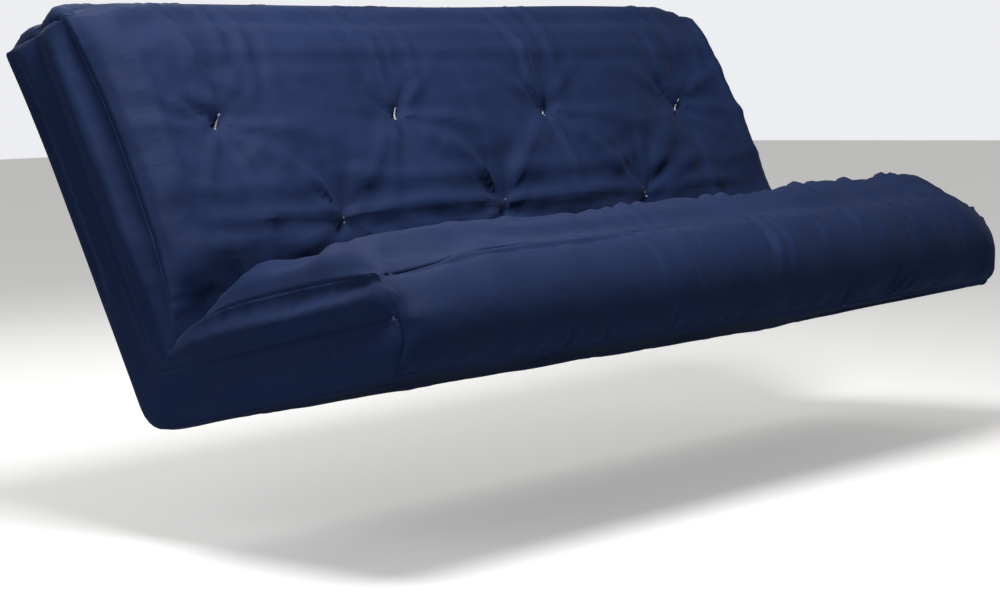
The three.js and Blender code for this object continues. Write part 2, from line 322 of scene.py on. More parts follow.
def halfProfile(faceReach, underReach, edgeHeight, bow):
    # One half, from the crease outwards, as distance from the axis and height above it. The face
    # runs straight to the mitre and is drawn in towards the axis near it; the underside is an arc
    # about the axis and then a straight line.
    foldShare = np.linspace(0, 1, shape["foldCells"] + 1)
    flatCells = round((faceReach - shape["foldZone"]) / shape["cell"])
    flatShare = np.linspace(0, 1, flatCells + 1)[1:]
    cornerReach = shape["foldHeight"] / math.tan(mitre)
    zone = shape["foldZone"]
    reach = np.concatenate([cornerReach + foldShare * (zone - cornerReach),
                            zone + flatShare * (faceReach - zone)])
    rise = smooth((reach - cornerReach) / (faceReach - cornerReach))
    height = shape["foldHeight"] + rise * (edgeHeight - shape["foldHeight"])
    height = height + bow * np.sin(math.pi * (reach - cornerReach) / (faceReach - cornerReach))
    apart = reach * math.sin(mitre) - height * math.cos(mitre)
    drawn = shape["creaseDepth"] * (0.55 * np.exp(-apart / 0.018) + 0.45 * bump(apart, 0.06))
    face = np.stack([reach - drawn * math.cos(mitre), height - drawn * math.sin(mitre)], axis=1)
    arc = foldRadius * foldTurn / 2
    path = np.concatenate([foldShare * (arc + zone), arc + zone + flatShare * (underReach - zone)])
    angle = foldTurn / 2 * np.clip(1 - path / arc, 0, 1)
    straight = np.clip(path - arc, 0, None)
    under = np.stack([straight - foldRadius * np.sin(angle), -foldRadius * np.cos(angle)], axis=1)
    return face, under, reach - cornerReach, path


def wholeProfile():
    # Both halves end to end, from the front seam over the crease to the head seam, in the row frame.
    frontSeam = frontReach - shape["seamBack"]
    seat = halfProfile(frontSeam, frontSeam, shape["frontHeight"], shape["seatBow"])
    back = halfProfile(headReach - 0.002 - shape["headSlant"], headReach - 0.002, shape["headHeight"],
                       shape["backBow"])

    def place(points, along, up):
        return foldAxis + points[:, :1] * along + points[:, 1:] * up

    face = np.concatenate([place(seat[0], -seatAlong, seatUp)[::-1], place(back[0], backAlong, backUp)[1:]])
    under = np.concatenate([place(seat[1], -seatAlong, seatUp)[::-1], place(back[1], backAlong, backUp)[1:]])
    faceAlong = np.concatenate([-seat[2][::-1], back[2][1:]])
    underAlong = np.concatenate([-seat[3][::-1], back[3][1:]])
    return face, under, faceAlong, underAlong


faceLine, underLine, faceAlong, underAlong = wholeProfile()
rowCount = len(faceLine)
creaseRow = int(np.argmin(np.abs(faceAlong)))
columnCount = 2 * round(shape["seamX"] / shape["cell"]) + 1
across = np.linspace(-1, 1, columnCount)
fibre = faceLine - underLine
fibre /= np.linalg.norm(fibre, axis=1, keepdims=True)
lowSeam = underLine + fibre * shape["underLift"]


def tuftPlaces():
    # x, row and name of each tuft, read from its CAD node
    places = []
    for row, count in tuftRows.items():
        for number in range(1, count + 1):
            low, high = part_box(f"tuft_{row}_{number}")
            middle = (np.array(low) + np.array(high)) / 2
            if row == "fold":
                rowIndex = float(creaseRow)
            else:
                half = seatAlong if row in ("front", "seat") else backAlong
                reach = abs(float((middle - foldAxis) @ half))
                corner = shape["foldHeight"] / math.tan(mitre)
                side = -1 if row in ("front", "seat") else 1
                rowIndex = float(np.interp(side * (reach - corner), faceAlong, np.arange(rowCount)))
            places.append({"name": f"tuft_{row}_{number}", "x": middle[0], "row": rowIndex, "in": row})
    return places


tufts = tuftPlaces()


def seamHalfWidth(row):
    # half the width between the end seams at a row: pulled in between the corners
    share = (faceAlong[row] - faceAlong[0]) / (faceAlong[-1] - faceAlong[0])
    ends = np.minimum(share, 1 - share) * (faceAlong[-1] - faceAlong[0])
    return shape["seamX"] - shape["pullIn"] * smooth(ends / 0.25) + shape["cornerEar"] * bump(ends, 0.05)


def dimples(x, along, rows, depth, slack):
    # Round hollows at the tufts, a narrow cusp in a wide shallow bowl:
    # depth times 0.5 exp(-r/cuspWidth) + 0.5 exp(-(r/bowlWidth)^2), less deep in the crease.
    total = np.zeros(np.broadcast(x, along).shape)
    for tuft in tufts:
        place = np.interp(tuft["row"], np.arange(rowCount), rows)
        away = np.sqrt((x - tuft["x"]) ** 2 + (along - place) ** 2 + 0.007 ** 2)
        deep = shape["foldTuftShare"] if tuft["in"] == "fold" else 1.0
        hollow = 0.5 * np.exp(-away / shape["cuspWidth"]) + 0.5 * bump(away, shape["bowlWidth"])
        total += deep * depth * hollow
    return total * (1 - slack)


def troughs(along, rows, depth):
    total = np.zeros(along.shape)
    for row, deep in (("front", 1.0), ("seat", 1.0), ("back", 1.5), ("head", 0.3)):
        place = next(t["row"] for t in tufts if t["in"] == row)
        place = np.interp(place, np.arange(rowCount), rows)
        total += deep * depth * bump(along - place, shape["troughWidth"])
    return total


def zipShares():
    # where the zip lies between the lower and the upper seam, from 0 to 1, at each row
    seat = [(line - foldAxis) @ seatUp for line in (lowSeam, faceLine)]
    back = [(line - foldAxis) @ backUp for line in (lowSeam, faceLine)]
    seat = (seatZipZ - seat[0]) / (seat[1] - seat[0])
    back = (backZipZ - back[0]) / (back[1] - back[0])
    zone = shape["zipBend"]
    straightSeat = np.where(faceAlong < -zone, seat, seat[np.argmax(faceAlong > -zone)])
    straightBack = np.where(faceAlong > zone, back, back[np.argmax(faceAlong > zone)])
    mix = smooth((faceAlong + zone) / (2 * zone))
    return straightSeat * (1 - mix) + straightBack * mix


def shellLevels():
    # Levels up the boxing at each row, from 0 at the lower seam to 1 at the upper one, with the zip
    # on the middle level at the height the frame gives it.
    level = np.linspace(0, 1, shape["boxingCells"] + 1)
    share = zipShares()
    levels = np.where(level[None] < 0.5, 2 * level[None] * share[:, None],
                      1 - 2 * (1 - level[None]) * (1 - share[:, None]))
    return level, levels, share


def startPanels(slack, fuller, x, fromEnd, fromFront, fromHead, fromSeam):
    # the face and the under panel, and how far the head seam is pushed out
    crown = np.where(faceAlong < 0, shape["seatCrown"], shape["backCrown"])
    crown = crown * (1 - bump(faceAlong, shape["creaseWidth"]))
    crown = (crown - troughs(faceAlong, faceAlong, shape["rowTrough"]))[:, None]
    crown = crown + shape["rightCrown"] * smooth(x / 0.7) * smooth(-faceAlong / 0.2)[:, None]
    # the roll along the front leaves its seam more softly than the others, most of all at the right
    soft = shape["leftSoftness"] + shape["addedSoftness"] * smooth((x + 0.55) / 0.7)
    soft = soft * (faceAlong < 0)[:, None]
    gentle = np.sin(math.pi / 2 * np.clip(fromSeam / shape["edgeRoll"], 0, 1))
    roll = (1 - soft) * edgeRise(fromSeam, shape["edgeRoll"]) + soft * gentle
    endRoll = np.where(x > 0, shape["rightRoll"], shape["endRoll"])
    lift = fuller * crown * edgeRise(fromEnd, endRoll) * roll
    edge = smooth(fromEnd / shape["tuftEdge"]) * smooth(fromSeam / shape["tuftEdge"])
    lift -= edge * dimples(x, faceAlong[:, None], faceAlong, shape["tuftDepth"], slack)
    bow = smooth(fromEnd / np.where(x > 0, shape["rightBowWidth"], shape["bowWidth"]))
    rise = shape["frontBow"] + shape["rightFrontBow"] * smooth((x + 0.5) / 0.7)
    lift += rise * bow * bump(fromFront, shape["frontBowReach"])[:, None]
    face = faceLine[:, None, :] + fibre[:, None, :] * lift[..., None]
    pushed = shape["headBow"] + shape["rightHeadBow"] * smooth(x / 0.6)
    pushed = pushed * smooth(fromEnd / shape["headBowWidth"])
    face += backAlong * (pushed * bump(fromHead, shape["headBowReach"])[:, None])[..., None]
    face[..., 0] = x

    drop = shape["underLift"] * edgeRise(fromEnd, 0.05) * edgeRise(fromSeam, 0.05)
    drop -= edge * dimples(x, underAlong[:, None], underAlong, shape["underTuftDepth"], slack)
    under = lowSeam[:, None, :] - fibre[:, None, :] * drop[..., None]
    under[..., 0] = x
    return face, under, pushed[-1]


def startShell(slack):
    # The six sides of the case as grids of points. slack is 0 for the shape that the cloth is drawn
    # into by its tufts, and 1 for the wider, undimpled shape that it was cut to.
    fuller = 1 + shape["cutFullness"] * slack
    halfWidth = seamHalfWidth(np.arange(rowCount))
    x = across[None, :] * halfWidth[:, None]
    fromEnd = halfWidth[:, None] - np.abs(x)
    fromFront = faceAlong - faceAlong[0]
    fromHead = faceAlong[-1] - faceAlong
    fromSeam = np.minimum(fromFront, fromHead)[:, None]
    face, under, pushed = startPanels(slack, fuller, x, fromEnd, fromFront, fromHead, fromSeam)

    level, levels, share = shellLevels()
    single = np.sqrt(np.clip(1 - (2 * level - 1) ** 2, 0, 1))
    lobes = np.abs(np.sin(2 * math.pi * level)) ** 1.3 * np.where(level > 0.5, 1.15, 0.75)
    full = np.sin(math.pi * np.clip(levels[0], 0, 1) ** 0.9) ** 0.7
    full[-1] = 0

    # ends: strips that bulge above and below the zip, flatter beside the fold, with the zip in the
    # plane the frame gives it, and their front edges bowed out with the front strip
    corner = edgeRise(fromSeam[:, 0], 0.10) * (1 - 0.85 * bump(faceAlong, 0.13))
    nearCorner = edgeRise(fromSeam[:, 0], shape["zipRise"])
    ends = []
    for side, column in ((-1, 0), (1, -1)):
        points = under[:, column, None, :] * (1 - levels[..., None])
        points = points + face[:, column, None, :] * levels[..., None]
        toZip = (zipFaceX - shape["zipDepth"] - halfWidth)[:, None] * single[None] * nearCorner[:, None]
        bulge = toZip + corner[:, None] * fuller * shape["endBulge"] * lobes[None]
        points[..., 0] = side * (halfWidth[:, None] + bulge)
        bowed = shape["cornerShare"] * full[None] * bump(fromFront, 0.05)[:, None]
        points = points - seatAlong * (fuller * shape["frontBulge"] * bowed)[..., None]
        ends.append(points)

    # front: one strip with one bulge, fullest a little below its middle
    fromCorner = edgeRise(halfWidth[0] - np.abs(x[0]), 0.08)
    up = levels[0][:, None, None]
    front = under[0] * (1 - up) + face[0] * up
    bowed = full[:, None] * (shape["cornerShare"] + (1 - shape["cornerShare"]) * fromCorner)
    front = front - seatAlong * (fuller * shape["frontBulge"] * bowed)[..., None]

    # head: two strips with the zip between them
    up = levels[-1][:, None, None]
    head = under[-1] * (1 - up) + face[-1] * up
    zipAt = lowSeam[-1] + (faceLine[-1] - lowSeam[-1]) * share[-1]
    toZip = headReach - 0.001 - float((zipAt - foldAxis) @ backAlong)
    nearCorner = edgeRise(halfWidth[-1] - np.abs(x[-1]), shape["zipRise"])
    headBow = -pushed * levels[-1][:, None]
    bulge = (toZip * nearCorner + headBow) * single[:, None]
    headCorner = edgeRise(halfWidth[-1] - np.abs(x[-1]), 0.05)
    bulge = bulge + fuller * shape["headBulge"] * lobes[:, None] * headCorner
    head = head + backAlong * bulge[..., None]
    return {"face": face, "under": under, "left": ends[0], "right": ends[1], "front": front, "head": head}


def joined(grids):
    # one list of points for the whole shell, with the shared seam points merged
    stacked = np.concatenate([g.reshape(-1, 3) for g in grids.values()])
    keys = np.round(stacked * 1e5).astype(np.int64)
    _, first, back = np.unique(keys, axis=0, return_index=True, return_inverse=True)
    back = back.ravel()
    index = {}
    at = 0
    for name, g in grids.items():
        count = g.shape[0] * g.shape[1]
        index[name] = back[at:at + count].reshape(g.shape[:2])
        at += count
    return stacked[first], index


outwardFlip = {"face": True, "under": False, "left": True, "right": False, "front": False, "head": True}

cloth = {
    "pressure": 3.2,
    "frames": 22,
    "mass": 0.25,
    "tension": 18,
    "compression": 18,
    "shear": 6,
    "bending": 0.05,
    "damping": 8,
    "airDamping": 3.0,
    "quality": 6,
    "hold": 5.0,               # how hard the fixed cloth is held
    "furthest": 0.026,         # no point of the cloth moves further than this
    "filling": 0.1,            # how firmly the filling holds the cloth where it was, 1 is fixed
    "seamFilling": 0.3,
    "tuftHold": 0.013,         # the cloth is fixed this close to a tuft
    "creaseRows": (2, 6),      # and these many rows either side of the fold, above and below
    "slack": (1.062, 0.992, 0.992),   # the cut cloth's size across and along, against its filling
}


def simulated(start, cut):
    # The whole case is one cloth under pressure, held at the tufts, the zip and the crease.
    points, index = joined(start)
    cutPoints = np.empty_like(points)
    for name, where in index.items():
        cutPoints[where.ravel()] = cut[name].reshape(-1, 3)
    cutPoints = points.mean(0) + (cutPoints - points.mean(0)) * np.array(cloth["slack"])
    faces = []
    for name, where in index.items():
        quads = np.stack([where[:-1, :-1], where[:-1, 1:], where[1:, 1:], where[1:, :-1]], -1).reshape(-1, 4)
        faces.append(quads[:, ::-1] if outwardFlip[name] else quads)
    shell = addPiece("shell", points, np.concatenate(faces))
    shell.shape_key_add(name="Basis")
    key = shell.shape_key_add(name="cut")
    key.data.foreach_set("co", cutPoints.astype(np.float32).ravel())

    held = np.zeros(len(points), bool)
    for tuft in tufts:
        for name, rows in (("face", faceAlong), ("under", underAlong)):
            place = np.interp(tuft["row"], np.arange(rowCount), rows)
            away = np.hypot(start[name][..., 0] - tuft["x"], (rows - place)[:, None])
            held[index[name][away < cloth["tuftHold"]]] = True
    middle = shape["boxingCells"] // 2
    held[index["left"][:, middle - 1:middle + 2]] = True
    held[index["right"][:, middle - 1:middle + 2]] = True
    held[index["head"][middle]] = True
    for name, near in zip(("face", "under"), cloth["creaseRows"]):
        held[index[name][creaseRow - near:creaseRow + near + 1]] = True
    onSeam = np.zeros(len(points), bool)
    for where in index.values():
        for border in (where[0], where[-1], where[:, 0], where[:, -1]):
            onSeam[border] = True
    group = shell.vertex_groups.new(name="held")
    group.add(np.nonzero(~held & ~onSeam)[0].tolist(), cloth["filling"], "REPLACE")
    group.add(np.nonzero(~held & onSeam)[0].tolist(), cloth["seamFilling"], "REPLACE")
    group.add(np.nonzero(held)[0].tolist(), 1.0, "REPLACE")

    modifier = shell.modifiers.new("Cloth", "CLOTH")
    settings = modifier.settings
    settings.quality = cloth["quality"]
    settings.mass = cloth["mass"]
    settings.tension_stiffness = cloth["tension"]
    settings.compression_stiffness = cloth["compression"]
    settings.shear_stiffness = cloth["shear"]
    settings.bending_stiffness = cloth["bending"]
    settings.tension_damping = cloth["damping"]
    settings.compression_damping = cloth["damping"]
    settings.air_damping = cloth["airDamping"]
    settings.use_pressure = True
    settings.uniform_pressure_force = cloth["pressure"]
    settings.vertex_group_mass = "held"
    settings.pin_stiffness = cloth["hold"]
    settings.rest_shape_key = key
    settings.effector_weights.gravity = 0
    modifier.collision_settings.use_collision = False
    scene = bpy.context.scene
    modifier.point_cache.frame_start = 1
    modifier.point_cache.frame_end = cloth["frames"]
    for number in range(1, cloth["frames"] + 1):
        scene.frame_set(number)
    result = shell.evaluated_get(bpy.context.evaluated_depsgraph_get()).to_mesh()
    moved = np.empty(len(points) * 3, np.float32)
    result.vertices.foreach_get("co", moved)
    moved = moved.reshape(-1, 3).astype(float)
    scene.frame_set(1)
    bpy.data.objects.remove(shell)

    step = moved - points
    far = np.linalg.norm(step, axis=1, keepdims=True)
    step *= cloth["furthest"] * np.tanh(far / cloth["furthest"]) / np.maximum(far, 1e-9)
    # the seat lies flat on its deck, and the back on its own
    moved = points + step
    for up, along in ((seatUp, -seatAlong), (backUp, backAlong)):
        beyond = np.clip(-foldRadius - (moved - foldAxis) @ up, 0, None)
        near = ((moved - foldAxis) @ along > 0)
        moved += (beyond * near)[:, None] * up
    return {name: moved[where] for name, where in index.items()}


def sharedNormals(grids):
    # outward normals of the whole case, averaged over its faces, so that panels agree on a seam
    points, index = joined(grids)
    normals = np.zeros_like(points)
    for name, where in index.items():
        a, b, c, d = where[:-1, :-1], where[:-1, 1:], where[1:, 1:], where[1:, :-1]
        cross = np.cross(points[c] - points[a], points[d] - points[b])
        if outwardFlip[name]:
            cross = -cross
        for corner in (a, b, c, d):
            np.add.at(normals, corner, cross)
    normals /= np.maximum(np.linalg.norm(normals, axis=1, keepdims=True), 1e-12)
    return {name: normals[where] for name, where in index.items()}


coarse = startShell(0.0)
coarse = simulated(coarse, startShell(1.0))
coarseNormals = sharedNormals(coarse)
print("case shaped:", sum(g.shape[0] * g.shape[1] for g in coarse.values()), "points")

rowPlaces = seamSpacing(rowCount - 1)
columnPlaces = seamSpacing(columnCount - 1)
halfStrip = seamSpacing(shape["boxingCells"] // 2)
levelPlaces = np.concatenate([halfStrip, halfStrip[1:] + shape["boxingCells"] // 2])
gridPlaces = {"face": (rowPlaces, columnPlaces), "under": (rowPlaces, columnPlaces),
              "left": (rowPlaces, levelPlaces), "right": (rowPlaces, levelPlaces),
              "front": (levelPlaces, columnPlaces), "head": (levelPlaces, columnPlaces)}
sides = {name: refined(points, *gridPlaces[name]) for name, points in coarse.items()}
outward = {name: refined(points, *gridPlaces[name]) for name, points in coarseNormals.items()}
outward = {name: n / np.linalg.norm(n, axis=2, keepdims=True) for name, n in outward.items()}


# folds, gathers and puckers finer than the cloth's grid

folds = {
    "seamDepth": 0.0050,       # seams sink this far
    "seamWidth": 0.0065,
    "rightSeamFade": 0.75,     # how much of the front seam's depth is lost at the right
    "rightSeamReach": 0.05,
    "pucker": 0.0017,
    "puckerReach": 0.045,
    "uneven": 0.0022,
    "tuftFold": 0.0115,
    "tuftFolds": 9,
    "tuftReach": 0.062,        # the creases round a tuft are deepest this far from it
    "foldTuftShare": 0.6,
    "diagonal": 0.0085,
    "groove": 0.015,
    "gather": 0.0105,
    "frontFold": 0.0095,
    "endFold": 0.0040,
    "flapGap": 0.0021,         # each zip flap stands back this far from the middle of the chain
}


def ripple(place, count, lengths):
    # soft uneven ridges along a line, about -1 to 1
    total = np.zeros(np.shape(place))
    for _ in range(count):
        total += np.sin(2 * math.pi * place / chance.uniform(*lengths) + chance.uniform(0, 2 * math.pi))
    return np.tanh(1.4 * total / math.sqrt(count))


def foldLine(u, v, start, end, bend, width, height, taper=(0.3, 0.3)):
    # A fold along a bowed line: height times exp(-(d/width)^2) less a wider, lower one, where d is
    # the distance from the line, and it fades at the ends.
    span = np.subtract(end, start)
    length = math.hypot(*span)
    span = span / length
    s = ((u - start[0]) * span[0] + (v - start[1]) * span[1]) / length
    d = (v - start[1]) * span[0] - (u - start[0]) * span[1] - bend * 4 * s * (1 - s)
    fade = smooth(s / taper[0]) * smooth((1 - s) / taper[1])
    return height * fade * (bump(d, width) - 0.4 * bump(d, 2.3 * width))


def tuftFolds(u, v, centre, size, reach):
    # Creases that run out from a tuft: each is narrow at the tuft and wider further out, and
    # its depth goes as (r/reach) exp(1 - r/reach).
    away = np.hypot(u - centre[0], v - centre[1])
    angle = np.arctan2(v - centre[1], u - centre[0])
    total = np.zeros(away.shape)
    count = folds["tuftFolds"]
    for number in range(count):
        aim = 2 * math.pi * (number + chance.uniform(-0.32, 0.32)) / count
        deep = size * chance.uniform(0.35, 1.25)
        long = reach * chance.uniform(0.7, 1.5)
        swing = chance.uniform(-0.9, 0.9)
        turn = np.angle(np.exp(1j * (angle - aim - swing * away)))
        off = away * np.sin(turn)
        wide = 0.0045 + 0.085 * away
        ahead = smooth((np.cos(turn) - 0.1) / 0.5)
        profile = (away / long) * np.exp(1 - away / long)
        total -= deep * profile * ahead * (bump(off, wide) - 0.45 * bump(off, 2.4 * wide))
    return total


def tuftCentre(tuft, rows):
    return tuft["x"], float(np.interp(tuft["row"], np.arange(rowCount), rows))


def faceFolds(x, v, fromSeam):
    end = faceAlong[-1]
    front = faceAlong[0]
    h = folds["uneven"] * waves(x, v, 9, (0.16, 0.42))
    h += 0.45 * folds["uneven"] * waves(x, v, 12, (0.05, 0.11), 0.7)
    for tuft in tufts:
        size = folds["tuftFold"] * (folds["foldTuftShare"] if tuft["in"] == "fold" else 1.0)
        h += tuftFolds(x, v, tuftCentre(tuft, faceAlong), size, folds["tuftReach"])
    # creases from each tuft to its neighbours in the next row
    for one in tufts:
        for other in tufts:
            pair = (one["in"], other["in"])
            if pair in (("back", "head"), ("seat", "front")) and abs(one["x"] - other["x"]) < 0.3:
                a, b = tuftCentre(one, faceAlong), tuftCentre(other, faceAlong)
                bend = chance.uniform(-0.022, 0.022)
                h += foldLine(x, v, a, b, bend, 0.026, -folds["diagonal"], (0.06, 0.06))
                h += foldLine(x, v, a, b, 1.6 * bend, 0.008, -0.35 * folds["diagonal"], (0.06, 0.3))
    # the groove that joins the tufts nearest the fold, and a pinched line below it
    grooveAt = tuftCentre(next(t for t in tufts if t["in"] == "back"), faceAlong)[1]
    wander = 0.006 * ripple(x[:1], 3, (0.3, 0.7))
    inside = smooth((0.86 - np.abs(x)) / 0.2)
    off = v - grooveAt - wander
    h -= folds["groove"] * inside * (0.62 * bump(off, 0.019) + 0.38 * np.exp(-np.abs(off) / 0.007))
    for centre in np.linspace(-0.6, 0.6, 6):
        a = centre + chance.uniform(-0.15, -0.02)
        b = a + chance.uniform(0.14, 0.3)
        low = grooveAt - chance.uniform(0.016, 0.034)
        h += foldLine(x, v, (a, low), (b, low + chance.uniform(-0.012, 0.012)), 0.006, 0.006, -0.004)
    # gathers from the head seam down to the tufts nearest it
    for tuft in tufts:
        if tuft["in"] != "head":
            continue
        tx, tv = tuftCentre(tuft, faceAlong)
        lean = chance.uniform(-0.04, 0.04)
        h += foldLine(x, v, (tx, tv), (tx + lean, end), 0.01, 0.017, -1.9 * folds["gather"], (0.05, 0.5))
        for _ in range(7):
            at = tx + chance.normal(0, 0.085)
            low = tv + chance.uniform(-0.03, 0.10)
            bend = chance.uniform(-0.012, 0.012)
            wide = chance.uniform(0.008, 0.017)
            deep = folds["gather"] * chance.uniform(0.3, 1.0)
            start = (at + 0.35 * (tx - at), low)
            h += foldLine(x, v, start, (at, end + 0.05), bend, wide, -deep, (0.35, 0.3))
    # long soft folds over the front edge
    for at in frontFoldPlaces:
        deep = folds["frontFold"] * frontFoldSizes[at]
        h += foldLine(x, v, (at, front - 0.04), (at + 0.03, front + 0.22), -0.020,
                      0.0110, -deep, (0.15, 0.5))
    # slack lines along the ends of the seat and the back
    for side in (-1, 1):
        for _ in range(7):
            low = chance.uniform(front + 0.1, end - 0.3)
            at = side * chance.uniform(0.78, 0.9)
            h += foldLine(x, v, (at, low), (at + side * chance.uniform(-0.03, 0.02), low + 0.2),
                          0.01, chance.uniform(0.007, 0.013), -0.0028)
    return h * smooth(fromSeam / np.where(v > 0, 0.010, 0.03))


def stripFolds(u, v, tall, diagonalAt=()):
    # soft puffs, slack diagonals and short puckers on a boxing strip, u along it and v up it
    long = u.max()
    h = 0.7 * folds["uneven"] * waves(u, v, 7, (0.10, 0.30), 1.0)
    for _ in range(int(long / 0.085)):
        at = chance.uniform(0.03, long - 0.1)
        up = chance.uniform(0.1, 0.6) * tall
        to = (at + chance.uniform(0.03, 0.12), up + chance.uniform(-0.2, 0.45) * tall)
        bend = chance.uniform(-0.008, 0.008)
        wide = chance.uniform(0.005, 0.010)
        h += foldLine(u, v, (at, up), to, bend, wide, -folds["endFold"] * chance.uniform(0.15, 0.6))
    for at, lean in diagonalAt:
        h += foldLine(u, v, (at, 0.05 * tall), (at + lean, 0.92 * tall), 0.010, 0.008, -folds["endFold"])
    return h


frontFoldPlaces = np.sort(np.concatenate([chance.uniform(-0.30, 0.80, 15), chance.uniform(-0.85, -0.3, 3)]))
frontFoldSizes = {}
for frontFoldPlace in frontFoldPlaces:
    strength = smooth((frontFoldPlace + 0.45) / 0.5)
    frontFoldSizes[frontFoldPlace] = (0.3 + 0.9 * float(strength)) * chance.uniform(0.4, 1.2)


def edgePuckers(distance, place, lengths):
    # short ridges square to a seam, which fade away from it
    fade = np.exp(-distance / folds["puckerReach"]) * (1 - np.exp(-distance / 0.006))
    return folds["pucker"] * ripple(place, 5, lengths) * fade


def panelLengths(points):
    # arc length along the two directions of a grid, each averaged over the other
    down = np.linalg.norm(np.diff(points, axis=0), axis=2).mean(axis=1)
    over = np.linalg.norm(np.diff(points, axis=1), axis=2).mean(axis=0)
    return np.concatenate([[0], np.cumsum(down)]), np.concatenate([[0], np.cumsum(over)])


def finished(name):
    # one panel with its folds, its seams drawn in and its zip flaps parted
    points = sides[name]
    v, u = panelLengths(points)
    v = v[:, None] + np.zeros(points.shape[:2])
    u = u[None, :] + np.zeros(points.shape[:2])
    fromLow, fromHigh = v, v.max() - v
    fromLeft, fromRight = u, u.max() - u
    seam = np.minimum(np.minimum(fromLow, fromHigh), np.minimum(fromLeft, fromRight))
    middle = (len(levelPlaces) - 1) // 2
    h = np.zeros(seam.shape)
    lengths = (0.045, 0.14) if name == "front" else (0.018, 0.06)
    for distance, place in ((fromLow, u), (fromHigh, u), (fromLeft, v), (fromRight, v)):
        h += edgePuckers(distance, place, lengths)
    if name == "face":
        along = readAt(faceAlong[:, None], rowPlaces, 0) + np.zeros(seam.shape)
        h += faceFolds(points[..., 0], along, seam)
    elif name == "under":
        along = readAt(underAlong[:, None], rowPlaces, 0) + np.zeros(seam.shape)
        h += 0.4 * folds["uneven"] * waves(points[..., 0], along, 8, (0.12, 0.4)) * smooth(seam / 0.03)
        for tuft in tufts:
            h += tuftFolds(points[..., 0], along, tuftCentre(tuft, underAlong), 0.0028, 0.035)
        h = np.minimum(h, 0.0015)
    elif name == "front":
        x = points[..., 0]
        h += 0.8 * folds["uneven"] * waves(x, v, 8, (0.12, 0.4)) * smooth(seam / 0.03)
        for at in frontFoldPlaces:
            deep = folds["frontFold"] * frontFoldSizes[at]
            drop = chance.uniform(0.15, 0.75) * v.max()
            to = (at + chance.uniform(-0.02, 0.05), v.max() - drop - 0.03)
            h += foldLine(x, v, (at - 0.012, v.max() * 1.25), to, 0.026, 0.0110, -deep, (0.2, 0.35))
        for at in chance.uniform(-0.9, 0.85, 9):
            h += foldLine(x, v, (at, -0.01), (at + chance.uniform(-0.06, 0.06), chance.uniform(0.05, 0.10)),
                          0.006, 0.007, -0.6 * folds["frontFold"], (0.1, 0.5))
        h *= smooth(seam / 0.012)
    else:
        across = v if name == "head" else u
        along = u if name == "head" else v
        zipAt = across[middle:middle + 1] if name == "head" else across[:, middle:middle + 1]
        fromZip = np.abs(across - zipAt)
        diagonals = [(0.05 + 0.035 * k, chance.uniform(0.05, 0.1)) for k in range(5)]
        h += stripFolds(along, across, across.max(), diagonals if name != "head" else ())
        h *= 1 - np.exp(-(fromZip / 0.012) ** 2)
        if name != "head":
            # the ends stay smooth beside the fold, where the slider stops
            creaseAt = float(np.interp(creaseRow, rowPlaces, v[:, 0]))
            h *= 1 - 0.8 * bump(along - creaseAt, 0.13)
        h *= smooth(seam / 0.010)
        h -= 0.0010 * np.exp(-fromZip / 0.0025) + 0.0007 * bump(fromZip - 0.0072, 0.0016)
        gap = folds["flapGap"] * np.exp(-fromZip / 0.012)
        step = np.gradient(points, axis=0 if name == "head" else 1)
        step /= np.linalg.norm(step, axis=2, keepdims=True)
        points = points + step * (gap * np.sign(across - zipAt))[..., None]
    depth = folds["seamDepth"] * np.ones(seam.shape)
    if name in ("face", "front"):
        # the front seam is pressed flat towards the right, where the roll is fullest
        fromFrontSeam = fromLow if name == "face" else fromHigh
        faded = smooth((points[..., 0] + 0.55) / 0.7) * bump(fromFrontSeam, folds["rightSeamReach"])
        depth *= 1 - folds["rightSeamFade"] * faded
    h -= depth * np.exp(-seam / folds["seamWidth"])
    return points + outward[name] * h[..., None], u, v


panels = {name: finished(name) for name in sides}
print("folds laid in")

# materials


def put(tree, kind, inputs=None, **settings):
    # a new node with its settings, and a value or a link for each named socket
    node = tree.nodes.new(kind)
    for name, value in settings.items():
        setattr(node, name, value)
    for socket, value in (inputs or {}).items():
        if isinstance(value, bpy.types.NodeSocket):
            tree.links.new(value, node.inputs[socket])
        else:
            node.inputs[socket].default_value = value
    return node


def calc(tree, operation, *values):
    return put(tree, "ShaderNodeMath", dict(enumerate(values)), operation=operation).outputs[0]


def newGroup(name, inputs, outputs):
    tree = bpy.data.node_groups.new(name, "ShaderNodeTree")
    for socket, value in inputs.items():
        kind = "NodeSocketVector" if value is None else "NodeSocketFloat"
        made = tree.interface.new_socket(name=socket, in_out="INPUT", socket_type=kind)
        if value is not None:
            made.default_value = value
    for socket in outputs:
        tree.interface.new_socket(name=socket, in_out="OUTPUT", socket_type="NodeSocketFloat")
    return tree, put(tree, "NodeGroupInput").outputs, put(tree, "NodeGroupOutput").inputs


